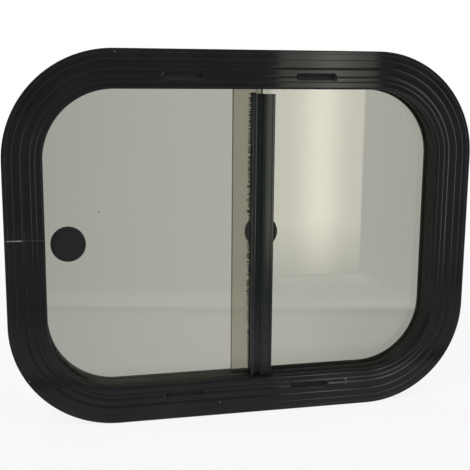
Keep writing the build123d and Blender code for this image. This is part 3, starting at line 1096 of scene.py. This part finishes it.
def build_disc(node, body, outwards):
    """Finger disc: a section of (radius, height) turned once about the disc's own axis."""
    low, high = node_box(node)
    centre = (low + high) / 2
    radius = (high[0] - low[0]) / 2
    thick = high[1] - low[1]
    inner = DISC_RING_R - DISC_RING_WIDTH
    corners = [
        (0.0, thick, 0.0),
        (inner, thick, 0.1),
        (inner + DISC_RING_LEAN, thick - DISC_RING_DEPTH, 0.08),
        (DISC_RING_R - DISC_RING_LEAN, thick - DISC_RING_DEPTH, 0.08),
        (DISC_RING_R, thick, 0.1),
        (radius, thick, 0.5),
        (radius, 0.0, 0.05),
        (0.0, 0.0, 0.0),
    ]
    section = eased(corners)
    turn = np.linspace(0, 2 * np.pi, DISC_STEPS, endpoint=False)[:, None]
    seat = high[1] if outwards else low[1]
    way = -1 if outwards else 1
    x = centre[0] + section[:, 0] * np.cos(turn)
    y = seat + way * section[:, 1]
    z = centre[2] + section[:, 0] * np.sin(turn)
    faces = grid_quads(DISC_STEPS, len(section), round_rows=True).tolist()
    add_piece(node + "_moulding", joined(x, y, z), faces, "disc_plastic", body, [node])


DRESSED = {
    "flocked_rubber": (
        "front_track_liner_upper",
        "front_track_liner_lower",
        "rear_track_liner_upper",
        "rear_track_liner_lower",
    ),
    "tinted_glass": ("left_pane", "right_pane"),
    "gasket_rubber": ("stile_gasket",),
    "disc_plastic": ("left_disc_spindle", "right_disc_spindle"),
}


def dress(node, slot):
    """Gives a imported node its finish."""
    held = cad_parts[node]
    for place in held.material_slots:
        place.material = FINISHES[slot]


def build_object():
    """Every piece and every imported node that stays."""
    build_frame()
    build_stile()
    build_brush()
    build_gasket_tail()
    for side in ("left", "right"):
        build_disc(f"{side}_outer_disc", f"{side}_sash", True)
        build_disc(f"{side}_inner_disc", f"{side}_sash", False)
    for slot, nodes in DRESSED.items():
        for node in nodes:
            dress(node, slot)


FLOOR_SIZE = 40.0
WHITE = (1.0, 1.0, 1.0)
WALL_DIM = (0.52, 0.543, 0.568)
WALL_PALE = (0.72, 0.755, 0.775)
WALL_MEAN = (0.65, 0.68, 0.70)
AIR_BEHIND = (0.1, 0.1, 0.1)
AIR_ABOVE = (0.4, 0.405, 0.4)
FLOOR_BEHIND = (0.9, 0.905, 0.89)
ROOM_IN_FRONT = (0.19, 0.195, 0.2)
ROOM_HIGH = (0.5, 0.51, 0.52)
FLOOR_AHEAD = (0.36, 0.365, 0.39)
FLOOR_NEAR = (0.86, 0.79, 0.9)
FLOOR_SHADE = (0.3, 0.3, 0.3)
FLOOR_COLOUR = (0.7, 0.7, 0.69)
ROOM = (0.5, 0.5, 0.5)

# The floor behind the glass: the camera's heading, the way along it to a fold, and a pale beam
HEADING = (0.2295, 0.9733)
FOLD = 1.197
FOLD_DIP = 0.011
BEAM_BEARING = 0.25
BEAM_FALL = 18
WALL_BASE = 0.325
WALL_BEAM = 0.5

# Light panel that the glass and the frame mirror, metres
PANEL_Y = -0.500
PANEL_LEFT = 0.165
PANEL_RIGHT = 0.328
PANEL_LOW = -0.172
PANEL_HIGH = 0.330
PANEL_PEAK = 0.256
PANEL_SPREAD = 0.034
PANEL_EDGE = 0.012
PANEL_FOOT = -0.2
PANEL_FADE = 0.118
PANEL_BASE = 2.75
PANEL_BELL = 3.0
PANEL_WARM = (1.0, 0.96, 0.81)
PANEL_SPILL = (0.95, 0.92, 0.8)


def add_sheet(name, corners):
    """Flat four-sided sheet between corners in metres."""
    mesh = bpy.data.meshes.new(name)
    mesh.from_pydata(corners, [], [(0, 1, 2, 3)])
    sheet = bpy.data.objects.new(name, mesh)
    scene.collection.objects.link(sheet)
    return sheet


def surround(f, wall, depth, front, behind, reach):
    """Colour of the studio for a ray: white to the camera, the wall's tone straight through the
    glass, and a dim room in reflections, which change from the tone in front to the tone behind
    over a reach of depth."""
    ray = f.node("ShaderNodeLightPath")
    mirrored = f.mix(f.rise(depth, -reach, reach), front, behind)
    glossy = f.maths("MINIMUM", ray["Glossy Depth"], 1.0)
    colour = f.mix(f.maths("MAXIMUM", glossy, ray["Is Glossy Ray"]), ROOM, mirrored)
    colour = f.mix(ray["Is Transmission Ray"] * (1 - glossy), colour, wall)
    return f.mix(ray["Is Camera Ray"], colour, WHITE), ray


def floor_wall(f, x, y):
    """Tone of the floor straight through the glass: a beam that fades to both sides of a bearing,
    dimmer before a fold, darkest in the fold and with a glow beyond it."""
    from_x = x - CAMERA_PLACE[0]
    from_y = y - CAMERA_PLACE[1]
    bearing = from_x / abs(from_y) - BEAM_BEARING
    ahead = from_x * HEADING[0] + from_y * HEADING[1]
    glow = f.rise(ahead, FOLD - 0.008, FOLD + 0.02) * (1 - f.rise(ahead, FOLD + 0.02, FOLD + 0.14))
    near = 1 - f.rise(ahead, FOLD - 0.28, FOLD - 0.02)
    dip = 1 - f.rise(abs(ahead - FOLD + FOLD_DIP), 0.002, 0.028)
    beyond = f.rise(ahead, FOLD - 0.01, FOLD + 0.03)
    aside = f.rise(bearing, 0.06, 0.18)
    pale = WALL_BASE + WALL_BEAM * f.maths("MAXIMUM", 1 - BEAM_FALL * bearing * bearing, 0.0)
    pale = pale + 0.24 * glow - 0.22 * near - 0.19 * dip + aside * (0.37 * beyond - 0.25)
    return f.mix(f.rise(y, -0.1, 0.1), WALL_MEAN, f.mix(pale, WALL_DIM, WALL_PALE))


def floor_in_front(f, x, y):
    """Tone of the floor in front of the window as it is mirrored: pale near the window, shaded under
    it, and lit at the foot of the light panel."""
    tone = f.mix(f.rise(y, -0.5, -0.1), FLOOR_AHEAD, FLOOR_NEAR)
    shade = f.rise(y, -0.15, -0.11) * (1 - f.rise(y, -0.096, -0.088))
    tone = f.mix(shade, tone, FLOOR_SHADE)
    beside = f.rise(x, PANEL_LEFT, PANEL_LEFT + 0.03) * (1 - f.rise(x, PANEL_RIGHT, PANEL_RIGHT + 0.02))
    spill = beside * f.rise(y, PANEL_Y - 0.01, PANEL_Y) * (1 - f.rise(y, PANEL_Y, PANEL_Y + 0.14))
    return f.mix(spill, tone, PANEL_SPILL)


def add_floor():
    """Pale floor under the window that keeps a faint shadow."""
    half = FLOOR_SIZE / 2
    ground = -HALF_HEIGHT * MM
    corners = [(-half, -half, ground), (half, -half, ground), (half, half, ground), (-half, half, ground)]
    floor = add_sheet("floor", corners)
    f = new_finish("pale_floor")
    place = f.place()
    x, y, _ = f.parts(place)
    colour, ray = surround(f, floor_wall(f, x, y), y, floor_in_front(f, x, y), FLOOR_BEHIND, 0.05)
    away = f.node("ShaderNodeVectorMath", {"operation": "LENGTH"}, {0: place})["Value"]
    share = f.maths("MAXIMUM", ray["Is Transmission Ray"], ray["Is Glossy Ray"])
    share = f.maths("MAXIMUM", share, ray["Is Camera Ray"] * (0.85 + 0.15 * f.rise(away, 0.3, 1.4)))
    lit = f.node("ShaderNodeBsdfDiffuse", None, {"Color": FLOOR_COLOUR})[0]
    even = f.node("ShaderNodeEmission", None, {"Color": colour})[0]
    shader = f.node("ShaderNodeMixShader", None, {0: share, 1: lit, 2: even})[0]
    floor.data.materials.append(f.surface(shader))


def add_air():
    """Even surround: darker behind the window than above it, with a brighter band high in front."""
    f = Finish(bpy.data.worlds.new("studio"))
    scene.world = f.holder
    _, y, z = f.parts(f.node("ShaderNodeTexCoord")["Generated"])
    behind = f.mix(f.rise(z, 0.4, 0.7), AIR_BEHIND, AIR_ABOVE)
    front = f.mix(f.rise(z, 0.05, 0.2) * (1 - f.rise(z, 0.6, 0.8)), ROOM_IN_FRONT, ROOM_HIGH)
    colour = surround(f, WALL_MEAN, y, front, behind, 0.15)[0]
    air = f.node("ShaderNodeBackground", None, {"Color": colour})[0]
    f.node("ShaderNodeOutputWorld", None, {"Surface": air})


def add_panel():
    """Upright light panel at the right that shows in reflections alone, brightest in the middle
    and fading at its left and foot."""
    corners = [
        (PANEL_LEFT, PANEL_Y, PANEL_LOW),
        (PANEL_LEFT, PANEL_Y, PANEL_HIGH),
        (PANEL_RIGHT, PANEL_Y, PANEL_HIGH),
        (PANEL_RIGHT, PANEL_Y, PANEL_LOW),
    ]
    panel = add_sheet("light_panel", corners)
    panel.visible_camera = False
    f = new_finish("panel_glow")
    x, _, z = f.parts(f.place())
    away = (x - PANEL_PEAK) / PANEL_SPREAD
    bell = f.maths("EXPONENT", -1 * away * away)
    level = f.rise(x, PANEL_LEFT, PANEL_LEFT + PANEL_EDGE) * (PANEL_BASE + PANEL_BELL * bell)
    level = level * f.maths("MINIMUM", (z - PANEL_FOOT) / PANEL_FADE, 1.0)
    warm = f.node("ShaderNodeVectorMath", {"operation": "SCALE"}, {0: PANEL_WARM, "Scale": level})
    glow = f.node("ShaderNodeEmission", None, {"Color": warm[0]})[0]
    clear = f.node("ShaderNodeBsdfTransparent")[0]
    mirrored = f.maths("MINIMUM", f.node("ShaderNodeLightPath")["Glossy Depth"], 1.0)
    shader = f.node("ShaderNodeMixShader", None, {0: mirrored, 1: clear, 2: glow})[0]
    material = f.surface(shader)
    material.cycles.emission_sampling = "NONE"
    panel.data.materials.append(material)


LAMP_AIM = np.zeros(3)
LAMPS = (
    ("key_lamp", (-0.9, -1.0, 1.3), 0.8, 14.0),
    ("fill_lamp", (1.1, -1.1, 1.0), 0.8, 11.0),
    ("back_lamp", (0.0, 0.9, 1.5), 1.0, 4.0),
)


def add_lamp(name, place, size, watts):
    """Soft square lamp that faces the window's centre and shows in no reflection."""
    data = bpy.data.lights.new(name, "AREA")
    data.energy = watts
    data.size = size
    lamp = bpy.data.objects.new(name, data)
    lamp.location = place
    way = LAMP_AIM - np.array(place)
    flat = math.hypot(way[0], way[1])
    lamp.rotation_euler = (math.atan2(flat, -way[2]), 0.0, math.atan2(-way[0], way[1]))
    lamp.visible_glossy = False
    scene.collection.objects.link(lamp)


def add_camera():
    """Camera at the photograph's viewing angle."""
    data = bpy.data.cameras.new("camera")
    data.lens = LENS
    data.sensor_width = SENSOR
    camera = bpy.data.objects.new("camera", data)
    camera.location = CAMERA_PLACE
    camera.rotation_euler = [math.radians(turn) for turn in CAMERA_TURN]
    scene.collection.objects.link(camera)
    scene.camera = camera


add_camera()
build_object()
add_floor()
add_air()
add_panel()
for lamp in LAMPS:
    add_lamp(*lamp)
